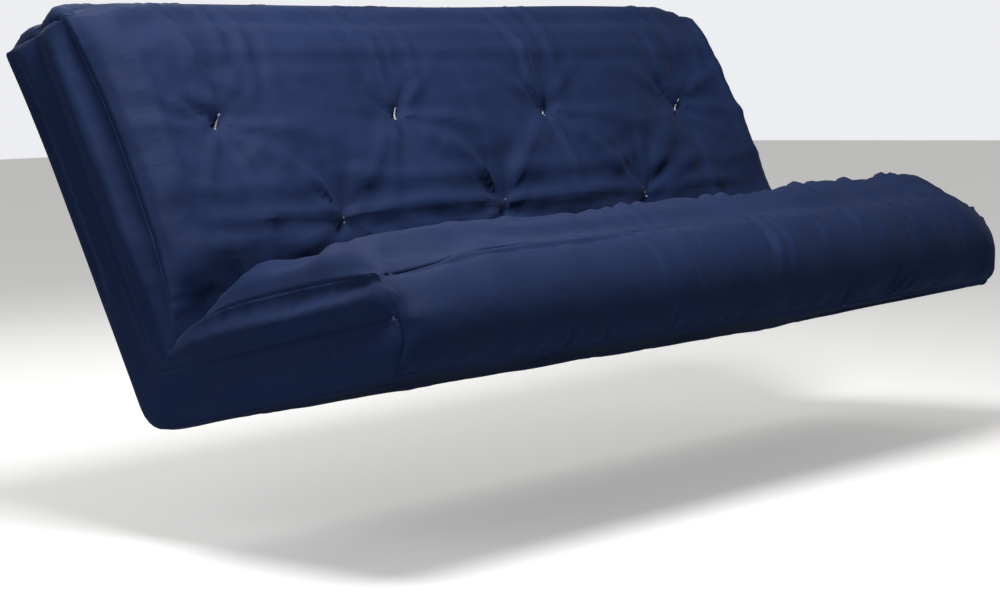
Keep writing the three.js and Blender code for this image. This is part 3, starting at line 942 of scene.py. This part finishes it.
def weaveGroup():
    # diagonal ribs over a finer cross thread, and a tone that changes from yarn to yarn
    tree, given, made = newGroup("twill weave", {"Vector": None, "Threads": 700.0}, ["Height", "Yarn"])
    parts = put(tree, "ShaderNodeSeparateXYZ", {0: given["Vector"]}).outputs
    x = calc(tree, "MULTIPLY", parts[0], given["Threads"])
    y = calc(tree, "MULTIPLY", parts[1], given["Threads"])
    rib = calc(tree, "SINE", calc(tree, "MULTIPLY", calc(tree, "ADD", x, y), 2 * math.pi))
    pick = calc(tree, "SINE", calc(tree, "MULTIPLY", calc(tree, "SUBTRACT", x, y), math.pi))
    both = calc(tree, "ADD", calc(tree, "MULTIPLY", rib, 0.38), calc(tree, "MULTIPLY", pick, 0.12))
    tree.links.new(calc(tree, "ADD", both, 0.5), made["Height"])
    slubs = put(tree, "ShaderNodeCombineXYZ", {0: calc(tree, "MULTIPLY", x, 0.015),
                                               1: calc(tree, "MULTIPLY", y, 0.5)})
    yarn = put(tree, "ShaderNodeTexNoise", {"Vector": slubs.outputs[0], "Scale": 1.0, "Detail": 2.0})
    tree.links.new(yarn.outputs["Fac"], made["Yarn"])
    return tree


def creaseGroup():
    # soft rumples with sharper lines in them, and a slow change of tone
    tree, given, made = newGroup("cloth rumple", {"Vector": None, "Size": 0.05}, ["Height", "Tone", "Line"])
    scale = calc(tree, "DIVIDE", 1.0, given["Size"])
    soft = put(tree, "ShaderNodeTexNoise", {"Vector": given["Vector"], "Scale": scale, "Detail": 3.0,
                                            "Roughness": 0.45, "Distortion": 0.4})
    ridge = calc(tree, "ABSOLUTE", calc(tree, "SUBTRACT", soft.outputs["Fac"], 0.5))
    line = calc(tree, "SUBTRACT", 1.0, calc(tree, "MINIMUM", calc(tree, "MULTIPLY", ridge, 9.0), 1.0))
    slowScale = calc(tree, "MULTIPLY", scale, 0.22)
    slow = put(tree, "ShaderNodeTexNoise", {"Vector": given["Vector"], "Scale": slowScale, "Detail": 2.0})
    height = calc(tree, "SUBTRACT", soft.outputs["Fac"], calc(tree, "MULTIPLY", line, 0.10))
    tree.links.new(height, made["Height"])
    tree.links.new(slow.outputs["Fac"], made["Tone"])
    tree.links.new(line, made["Line"])
    return tree


def twistGroup():
    # strands that wind round a cord: a sine of turns along it plus the way round it
    sockets = {"Vector": None, "Turns": 300.0, "Strands": 3.0}
    tree, given, made = newGroup("twisted strands", sockets, ["Height"])
    parts = put(tree, "ShaderNodeSeparateXYZ", {0: given["Vector"]}).outputs
    along = calc(tree, "MULTIPLY", parts[1], given["Turns"])
    around = calc(tree, "MULTIPLY", parts[0], given["Strands"])
    wave = calc(tree, "SINE", calc(tree, "MULTIPLY", calc(tree, "ADD", along, around), 2 * math.pi))
    tree.links.new(calc(tree, "ABSOLUTE", wave), made["Height"])
    return tree


def wearGroup():
    # cloudy tarnish and fine scratches
    tree, given, made = newGroup("metal wear", {"Vector": None, "Size": 0.004}, ["Tarnish", "Scratch"])
    scale = calc(tree, "DIVIDE", 1.0, given["Size"])
    cloud = put(tree, "ShaderNodeTexNoise", {"Vector": given["Vector"], "Scale": scale, "Detail": 4.0})
    drawn = put(tree, "ShaderNodeMapping", {"Vector": given["Vector"], "Scale": (6.0, 1.0, 1.0)})
    fineScale = calc(tree, "MULTIPLY", scale, 6.0)
    fine = put(tree, "ShaderNodeTexNoise", {"Vector": drawn.outputs[0], "Scale": fineScale, "Detail": 2.0})
    tree.links.new(cloud.outputs["Fac"], made["Tarnish"])
    tree.links.new(fine.outputs["Fac"], made["Scratch"])
    return tree


def poreGroup():
    tree, given, made = newGroup("open pores", {"Vector": None, "Size": 0.003}, ["Height", "Tone"])
    scale = calc(tree, "DIVIDE", 1.0, given["Size"])
    cells = put(tree, "ShaderNodeTexVoronoi", {"Vector": given["Vector"], "Scale": scale})
    cloudScale = calc(tree, "MULTIPLY", scale, 0.05)
    cloud = put(tree, "ShaderNodeTexNoise", {"Vector": given["Vector"], "Scale": cloudScale})
    tree.links.new(cells.outputs["Distance"], made["Height"])
    tree.links.new(cloud.outputs["Fac"], made["Tone"])
    return tree


weave, rumple, twist, wear, pores = weaveGroup(), creaseGroup(), twistGroup(), wearGroup(), poreGroup()


def placed(tree, group, vector, **values):
    node = put(tree, "ShaderNodeGroup", None, node_tree=group)
    tree.links.new(vector, node.inputs["Vector"])
    for name, value in values.items():
        node.inputs[name].default_value = value
    return node.outputs


def mixed(tree, amount, first, second):
    # a colour between two, by a mask
    node = put(tree, "ShaderNodeMix", None, data_type="RGBA")
    for socket, value in ((0, amount), (6, first), (7, second)):
        if isinstance(value, bpy.types.NodeSocket):
            tree.links.new(value, node.inputs[socket])
        else:
            node.inputs[socket].default_value = value if socket == 0 else (*value, 1)
    return node.outputs[2]


def ranged(tree, value, low, high, fromLow=0.3, fromHigh=0.7):
    return put(tree, "ShaderNodeMapRange", {0: value, 1: fromLow, 2: fromHigh, 3: low, 4: high}).outputs[0]


def newMaterial(name, **fixed):
    # a material whose shader has these fixed values, and the two vectors that its patterns read
    material = bpy.data.materials.new(name)
    material.use_nodes = True
    tree = material.node_tree
    shader = tree.nodes["Principled BSDF"]
    for socket, value in fixed.items():
        shader.inputs[socket.replace("_", " ")].default_value = value
    coordinates = put(tree, "ShaderNodeTexCoord").outputs
    return material, tree, shader, coordinates


def bumpOf(tree, height, strength, distance, normal=None):
    inputs = {"Height": height, "Strength": strength, "Distance": distance}
    if normal is not None:
        inputs["Normal"] = normal
    return put(tree, "ShaderNodeBump", inputs).outputs[0]


twillLook = {
    "dark": (0.0050, 0.0134, 0.0500),
    "light": (0.0084, 0.0214, 0.0750),
    "threads": 640.0,
    "weaveDepth": 0.00018,
    "rumpleDepth": 0.0016,
}


def makeTwill(name, look):
    material, tree, shader, at = newMaterial(name, Sheen_Weight=0.04, Sheen_Roughness=0.4,
                                             Sheen_Tint=(0.62, 0.74, 1.0, 1), Specular_IOR_Level=0.20)
    thread = placed(tree, weave, at["UV"], Threads=look["threads"])
    soft = placed(tree, rumple, at["UV"], Size=0.045)
    yarnTone = ranged(tree, thread["Yarn"], 0.0, 0.45)
    tone = calc(tree, "ADD", yarnTone, ranged(tree, soft["Tone"], 0.1, 0.5))
    # painted shade: the rib height also goes into the colour, darker in the grooves between the ribs and lighter
    # on their crests, on top of the yarn and rumple tones
    tone = calc(tree, "ADD", tone, calc(tree, "MULTIPLY", thread["Height"], 0.18))
    colour = mixed(tree, tone, look["dark"], look["light"])
    tree.links.new(colour, shader.inputs["Base Color"])
    tree.links.new(ranged(tree, thread["Yarn"], 0.66, 0.82), shader.inputs["Roughness"])
    first = bumpOf(tree, soft["Height"], 0.5, look["rumpleDepth"] * 2)
    normal = bumpOf(tree, thread["Height"], 0.6, look["weaveDepth"], first)
    tree.links.new(normal, shader.inputs["Normal"])
    return material


twill = makeTwill("navy twill", twillLook)


def makePadding(name, low, high, size, depth):
    material, tree, shader, at = newMaterial(name, Specular_IOR_Level=0.2)
    cell = placed(tree, pores, at["Object"], Size=size)
    tree.links.new(mixed(tree, ranged(tree, cell["Tone"], 0, 1), low, high), shader.inputs["Base Color"])
    tree.links.new(ranged(tree, cell["Tone"], 0.88, 0.98), shader.inputs["Roughness"])
    tree.links.new(bumpOf(tree, cell["Height"], 0.6, depth), shader.inputs["Normal"])
    return material


batting = makePadding("cotton batting", (0.62, 0.59, 0.52), (0.80, 0.78, 0.72), 0.011, 0.002)
foam = makePadding("cream foam", (0.70, 0.62, 0.42), (0.82, 0.76, 0.58), 0.0022, 0.0006)


def makeCord(name, low, high, turns, roughness):
    material, tree, shader, at = newMaterial(name, Specular_IOR_Level=0.35)
    strand = placed(tree, twist, at["UV"], Turns=turns, Strands=3.0)
    cloud = placed(tree, rumple, at["Object"], Size=0.006)
    # painted shade: the colour runs from low in the grooves between the strands to high on their crests, broken up
    # by a cloud
    amount = calc(tree, "MULTIPLY", strand["Height"], ranged(tree, cloud["Height"], 0.5, 1.0))
    tree.links.new(mixed(tree, amount, low, high), shader.inputs["Base Color"])
    tree.links.new(ranged(tree, cloud["Height"], roughness, roughness + 0.15), shader.inputs["Roughness"])
    tree.links.new(bumpOf(tree, strand["Height"], 0.7, 0.0003), shader.inputs["Normal"])
    return material


twine = makeCord("waxed twine", (0.42, 0.34, 0.33), (0.82, 0.74, 0.72), 260.0, 0.5)
stitchThread = makeCord("navy thread", (0.016, 0.026, 0.075), (0.040, 0.058, 0.13), 700.0, 0.55)


def makeTape():
    material, tree, shader, at = newMaterial("zip tape", Specular_IOR_Level=0.3)
    thread = placed(tree, weave, at["Object"], Threads=900.0)
    tone = ranged(tree, thread["Yarn"], 0.1, 0.9)
    colour = mixed(tree, tone, (0.008, 0.011, 0.026), (0.018, 0.024, 0.052))
    tree.links.new(colour, shader.inputs["Base Color"])
    tree.links.new(ranged(tree, thread["Yarn"], 0.7, 0.85), shader.inputs["Roughness"])
    tree.links.new(bumpOf(tree, thread["Height"], 0.6, 0.0002), shader.inputs["Normal"])
    return material


def makeMetal(name, low, high, roughness):
    material, tree, shader, at = newMaterial(name, Metallic=1.0)
    worn = placed(tree, wear, at["Object"], Size=0.004)
    colour = mixed(tree, ranged(tree, worn["Tarnish"], 0.0, 1.0), low, high)
    tree.links.new(colour, shader.inputs["Base Color"])
    tree.links.new(ranged(tree, worn["Scratch"], roughness, roughness + 0.2), shader.inputs["Roughness"])
    tree.links.new(bumpOf(tree, worn["Scratch"], 0.3, 0.00006), shader.inputs["Normal"])
    return material


zipTape = makeTape()
toothMetal = makeMetal("dark zip metal", (0.16, 0.16, 0.18), (0.42, 0.42, 0.45), 0.32)
sliderMetal = makeMetal("nickel zip metal", (0.34, 0.33, 0.32), (0.60, 0.59, 0.57), 0.25)
print("materials made")

# the case's panels

clothThickness = 0.0022


def acrossFold(piece):
    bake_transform(piece)


def clothPanel(name, points, normals, flip, u, v):
    # A closed sheet: the fine outer surface, a coarser inner one, and a rim of five-sided faces.
    rows, columns = points.shape[:2]
    inner = (points - normals * clothThickness)[::2, ::2]
    innerRows, innerColumns = inner.shape[:2]
    start = rows * columns
    outerIndex = np.arange(start).reshape(rows, columns)
    innerIndex = start + np.arange(innerRows * innerColumns).reshape(innerRows, innerColumns)
    faces = gridFaces(rows, columns, 0, flip).tolist()
    faces += gridFaces(innerRows, innerColumns, start, not flip).tolist()
    borders = [(outerIndex[0], innerIndex[0], False), (outerIndex[-1], innerIndex[-1], True),
               (outerIndex[:, 0], innerIndex[:, 0], True), (outerIndex[:, -1], innerIndex[:, -1], False)]
    for outer, low, backwards in borders:
        rim = np.stack([outer[:-2:2], outer[1:-1:2], outer[2::2], low[1:], low[:-1]], axis=1)
        faces += (rim if backwards != flip else rim[:, ::-1]).tolist()
    vertices = np.concatenate([points.reshape(-1, 3), inner.reshape(-1, 3)])
    uv = np.stack([u, v], axis=2)
    uv = np.concatenate([uv.reshape(-1, 2), uv[::2, ::2].reshape(-1, 2)])
    piece = addPiece(name, vertices, faces, uv)
    piece.data.materials.append(twill)
    return piece


def makePanels():
    middle = (len(levelPlaces) - 1) // 2
    lower, upper = slice(0, middle + 1), slice(middle, None)
    cuts = [("case_face", "face", slice(None), slice(None), ["seat_face_panel", "back_face_panel"]),
            ("case_under", "under", slice(None), slice(None), ["seat_under_panel", "back_rear_panel"]),
            ("case_front", "front", slice(None), slice(None), ["front_boxing"]),
            ("case_head_lower", "head", lower, slice(None), ["head_boxing_lower"]),
            ("case_head_upper", "head", upper, slice(None), ["head_boxing_upper"])]
    for side in ("left", "right"):
        for part, cut in (("lower", lower), ("upper", upper)):
            nodes = [f"{half}_{side}_boxing_{part}" for half in ("seat", "back")]
            cuts.append((f"case_{side}_{part}", side, slice(None), cut, nodes))
    for name, panel, rows, columns, nodes in cuts:
        points, u, v = panels[panel]
        piece = clothPanel(name, points[rows, columns], outward[panel][rows, columns],
                           outwardFlip[panel], u[rows, columns], v[rows, columns])
        if panel == "front":
            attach(piece, "seat")
        elif panel == "head":
            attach(piece, "back")
        else:
            acrossFold(piece)
        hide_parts(*nodes)


makePanels()
print("case panels made")

# the filling

filling = {
    "inset": 2,                # grid cells between the filling and the seams
    "layers": [                # name, lower and upper share of the thickness, CAD layer, fill
        ("filling_lower_batting", 0.035, 0.255, "lower_batting", 0.8),
        ("filling_foam_core", 0.265, 0.735, "foam_core", 0.95),
        ("filling_upper_batting", 0.745, 0.955, "upper_batting", 0.85),
    ],
}


def makeFilling():
    # Each layer lies between two shares of the way from the underside to the face, so it has the
    # case's crown and dimples: P = U + share (F - U).
    inset = filling["inset"]
    keep = (slice(inset, -inset), slice(inset, -inset))
    face, under = coarse["face"][keep], coarse["under"][keep]
    rows, columns = face.shape[:2]
    for name, low, high, layer, fill in filling["layers"]:
        bottom = under + low * (face - under)
        top = under + high * (face - under)
        count = rows * columns
        index = np.arange(count).reshape(rows, columns)
        faces = gridFaces(rows, columns, 0, False).tolist()
        faces += gridFaces(rows, columns, count, True).tolist()
        ring = np.concatenate([index[0, :-1], index[:-1, -1], index[-1, :0:-1], index[:0:-1, 0]])
        after = np.roll(ring, -1)
        faces += np.stack([ring, ring + count, after + count, after], axis=1).tolist()
        vertices = np.concatenate([bottom.reshape(-1, 3), top.reshape(-1, 3)])
        piece = addPiece(name, vertices, faces)
        material = foam if layer == "foam_core" else batting
        piece.data.materials.append(material)
        acrossFold(piece)
        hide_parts("seat_" + layer, "back_" + layer)


makeFilling()
print("filling made")

# the zip

zipper = {
    "pitch": 0.0026,
    "toothRings": [(-0.0027, 0.0, 0.00080, 0.0011), (-0.0004, 0.0, 0.00045, 0.0008),
                   (0.0009, 0.0, 0.00080, 0.0011)],
    "toothRise": 0.0016,       # the chain's middle above the tape
    "tapeHalf": 0.0115,
    "tapeThickness": 0.0008,
    "stitchPitch": 0.0046,
    "stitchRings": [(-0.0018, -0.0003, 0.00028, 0.0002), (0.0, 0.00025, 0.00042, 0.0003),
                    (0.0018, -0.0003, 0.00028, 0.0002)],
    "stitchLine": 3,           # grid lines between the chain and the row of stitches
}


def frameAlong(path, out, places):
    # points, directions along, outwards and sideways at distances along a path
    length = np.concatenate([[0], np.cumsum(np.linalg.norm(np.diff(path, axis=0), axis=1))])
    direction = np.gradient(path, axis=0)

    def at(values):
        return np.stack([np.interp(places, length, values[:, k]) for k in range(3)], axis=1)

    p, t, n = at(path), at(direction), at(out)
    t /= np.linalg.norm(t, axis=1, keepdims=True)
    n -= t * (n * t).sum(1, keepdims=True)
    n /= np.linalg.norm(n, axis=1, keepdims=True)
    return p, t, n, np.cross(t, n)


def pathLength(path):
    return float(np.linalg.norm(np.diff(path, axis=0), axis=1).sum())


def blocksAlong(name, path, out, pitch, rings, rise, teeth):
    # Small blocks at an even pitch, each of three rings of four corners. A ring is (step, lift,
    # halfWide, halfHigh) in the block's own frame; teeth point across the path from side to side in
    # turn, and stitches lie along it.
    places = np.arange(pitch, pathLength(path) - pitch, pitch)
    p, t, n, b = frameAlong(path, out, places)
    turn = np.where(np.arange(len(places)) % 2, 1.0, -1.0)[:, None]
    axis, wide = (b * turn, t * turn) if teeth else (t, -b)
    corners = [(1, -1), (1, 1), (-1, 1), (-1, -1)]
    points = [p + axis * step + n * (rise + lift + j * high) + wide * (i * half)
              for step, lift, half, high in rings for i, j in corners]
    vertices = np.stack(points, axis=1).reshape(-1, 3)
    one = [[k * 4 + j, k * 4 + (j + 1) % 4, (k + 1) * 4 + (j + 1) % 4, (k + 1) * 4 + j]
           for k in range(2) for j in range(4)] + [[3, 2, 1, 0], [8, 9, 10, 11]]
    faces = (np.array(one)[None] + 12 * np.arange(len(places))[:, None, None]).reshape(-1, 4)
    uv = np.tile(np.array([(j / 4, step) for step, _, _, _ in rings for j in range(4)]), (len(places), 1))
    return addPiece(name, vertices, faces, uv)


def tapeAlong(name, path, out):
    # a flat band under the chain: a flat section of six points carried along the path
    p, _, n, b = frameAlong(path, out, np.linspace(0, pathLength(path), 2 * len(path)))
    half, thick = zipper["tapeHalf"], zipper["tapeThickness"]
    corners = [(half, -0.5), (half, 0.5), (0, 0.5), (-half, 0.5), (-half, -0.5), (0, -0.5)]
    rings = np.stack([p + b * i + n * (thick * j - 0.0004) for i, j in corners], axis=1)
    index = np.arange(rings.shape[0] * rings.shape[1]).reshape(rings.shape[:2])
    after = np.roll(index, -1, axis=1)
    faces = np.stack([index[:-1], index[1:], after[1:], after[:-1]], axis=-1).reshape(-1, 4).tolist()
    faces += [index[0].tolist(), index[-1][::-1].tolist()]
    return addPiece(name, rings.reshape(-1, 3), faces)


def makeZip(run, path, out, stitchLines, body, nodes):
    tape = tapeAlong(f"zip_tape_{run}", path, out)
    tape.data.materials.append(zipTape)
    chain = blocksAlong(f"zip_chain_{run}", path, out, zipper["pitch"], zipper["toothRings"],
                        zipper["toothRise"], True)
    chain.data.materials.append(toothMetal)
    made = [(tape, "zip_tape"), (chain, "zip_metal")]
    for side, (line, lineOut) in stitchLines.items():
        stitches = blocksAlong(f"zip_stitches_{run}_{side}", line, lineOut, zipper["stitchPitch"],
                               zipper["stitchRings"], 0.0, False)
        stitches.data.materials.append(stitchThread)
        made.append((stitches, "twine"))
    for piece, slot in made:
        if body:
            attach(piece, body)
        else:
            acrossFold(piece)
    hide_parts(*nodes)


def makeZips():
    middle = (len(levelPlaces) - 1) // 2
    off = zipper["stitchLine"]
    for side in ("left", "right"):
        points = panels[side][0]
        keep = slice(4, -4)
        lines = {part: (points[keep, middle + step], outward[side][keep, middle + step])
                 for part, step in (("lower", -off), ("upper", off))}
        makeZip(side, sides[side][keep, middle], outward[side][keep, middle], lines, None,
                [f"seat_zip_{side}", f"back_zip_{side}"])
    points = panels["head"][0]
    lines = {part: (points[middle + step, 4:-4], outward["head"][middle + step, 4:-4])
             for part, step in (("lower", -off), ("upper", off))}
    makeZip("head", sides["head"][middle, 4:-4], outward["head"][middle, 4:-4], lines, "back", ["zip_head"])


makeZips()
for node in ("zip_slider", "zip_pull", "zip_stop_left", "zip_stop_right"):
    solid = frame["nodes"][node]
    solid.data.materials.clear()
    solid.data.materials.append(toothMetal if "stop" in node else sliderMetal)
print("zip made")

# the tufts

twineShape = {
    "strand": 0.00115,
    "twistRadius": 0.0009,
    "stitchHalf": 0.0115,
    "stitchRise": 0.0012,
    "shank": 0.0011,
    "knot": 0.0017,
    "tail": 0.016,
}


def tube(path, radius, around, ringSides=8):
    # A round section carried along a path; around points away from the path's own middle.
    direction = np.gradient(path, axis=0)
    direction /= np.linalg.norm(direction, axis=1, keepdims=True)
    n = around - direction * (around * direction).sum(1, keepdims=True)
    n /= np.linalg.norm(n, axis=1, keepdims=True)
    b = np.cross(direction, n)
    turn = 2 * math.pi * np.arange(ringSides) / ringSides
    ring = n[:, None] * np.cos(turn)[:, None] + b[:, None] * np.sin(turn)[:, None]
    points = path[:, None] + radius * ring
    index = np.arange(len(path) * ringSides).reshape(len(path), ringSides)
    after = np.roll(index, -1, axis=1)
    faces = np.stack([index[:-1], after[:-1], after[1:], index[1:]], axis=-1).reshape(-1, 4).tolist()
    faces += [index[0][::-1].tolist(), index[-1].tolist()]
    length = np.concatenate([[0], np.cumsum(np.linalg.norm(np.diff(path, axis=0), axis=1))])
    uv = np.stack([np.tile(np.arange(ringSides) / ringSides, (len(path), 1)),
                   np.repeat(length[:, None], ringSides, axis=1)], axis=2)
    return points.reshape(-1, 3), faces, uv.reshape(-1, 2)


def clothHeights(points, centre, up, spots):
    # how high the cloth stands over the bottom of a dimple at the grid points nearest some spots
    away = points - centre
    high = away @ up
    flat = away - high[..., None] * up
    return [float(high.ravel()[np.argmin(np.linalg.norm(flat - spot, axis=2))]) for spot in spots]


def twistedStitch(centre, up, along, ends):
    # two strands wound round a low arch across the dimple, which dips into its sides at both ends
    s = np.linspace(-1, 1, 29)
    half, rise = twineShape["stitchHalf"], twineShape["stitchRise"]
    level = 0.5 * (ends[0] * (1 - s) + ends[1] * (1 + s)) + rise * (1 - s ** 2) - 0.0035 * s ** 6
    arch = centre + along * (half * s)[:, None] + up * level[:, None]
    sideways = np.cross(along, up)
    parts = []
    for phase in (0, math.pi):
        angle = 2 * math.pi * 1.3 * s + phase
        swing = sideways * np.cos(angle)[:, None] + up * np.sin(angle)[:, None]
        around = sideways * np.cos(angle + 0.4)[:, None] + up * np.sin(angle + 0.4)[:, None]
        parts.append(tube(arch + twineShape["twistRadius"] * swing, twineShape["strand"], around))
    return parts


def knot(centre, up, along):
    # A trefoil, (sin t + 2 sin 2t, cos t - 2 cos 2t, -sin 3t), drawn small, with two cut tails.
    sideways = np.cross(along, up)
    t = np.linspace(0, 2 * math.pi, 61)
    size = twineShape["knot"]
    local = np.stack([np.sin(t) + 2 * np.sin(2 * t), np.cos(t) - 2 * np.cos(2 * t), -0.7 * np.sin(3 * t)],
                     axis=1)
    path = centre + size * (local[:, :1] * sideways + local[:, 1:2] * along + (local[:, 2:] + 1.0) * up)
    parts = [tube(path, twineShape["strand"], path - centre + 0.3 * size * up)]
    s = np.linspace(0, 1, 14)
    for sign in (-1, 1):
        reach = twineShape["tail"] * chance.uniform(0.7, 1.2)
        sway = chance.uniform(-0.5, 0.5)
        tail = centre + along * (sign * reach * s)[:, None] + sideways * (sway * reach * s ** 2)[:, None]
        tail = tail + up * (0.0016 * (1 - s) + 0.0006)[:, None]
        parts.append(tube(tail, 0.8 * twineShape["strand"], np.repeat(sideways[None], len(s), axis=0)))
    return parts


def makeTufts():
    for tuft in tufts:
        spots = []
        for name in ("face", "under"):
            points = panels[name][0]
            row = int(np.argmin(np.abs(rowPlaces - tuft["row"])))
            column = int(np.argmin(np.abs(points[row, :, 0] - tuft["x"])))
            spots.append((points[row, column], outward[name][row, column]))
            if name == "face":
                nearCloth = points[row - 12:row + 13, column - 12:column + 13]
        (top, up), (low, down) = spots
        lean = math.radians(chance.uniform(-28, 28))
        sideways = np.array([1.0, 0, 0])
        along = np.cross(up, sideways) * math.cos(lean) + sideways * math.sin(lean)
        if tuft["in"] == "fold":
            along = sideways      # along the crease, which opens and closes across it
        along -= up * (along @ up)
        along /= np.linalg.norm(along)
        half = twineShape["stitchHalf"] * along
        ends = clothHeights(nearCloth, top, up, (-half, half))
        parts = twistedStitch(top + up * 0.001, up, along, ends)
        s = np.linspace(0, 1, 18)[:, None]
        shank = (top - up * 0.003) * (1 - s) + (low - down * 0.002) * s
        parts.append(tube(shank, twineShape["shank"], np.repeat(sideways[None], len(s), axis=0)))
        parts += knot(low + down * 0.0004, down, np.cross(down, sideways))
        vertices, faces, uv, start = [], [], [], 0
        for v, f, w in parts:
            vertices.append(v)
            faces += [[start + k for k in face] for face in f]
            uv.append(w)
            start += len(v)
        piece = addPiece("twine_" + tuft["name"][5:], np.concatenate(vertices), faces, np.concatenate(uv))
        piece.data.materials.append(twine)
        if tuft["in"] == "fold":
            acrossFold(piece)
        else:
            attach(piece, "seat" if tuft["in"] in ("front", "seat") else "back")
        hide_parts(tuft["name"])


makeTufts()
print("tufts made")
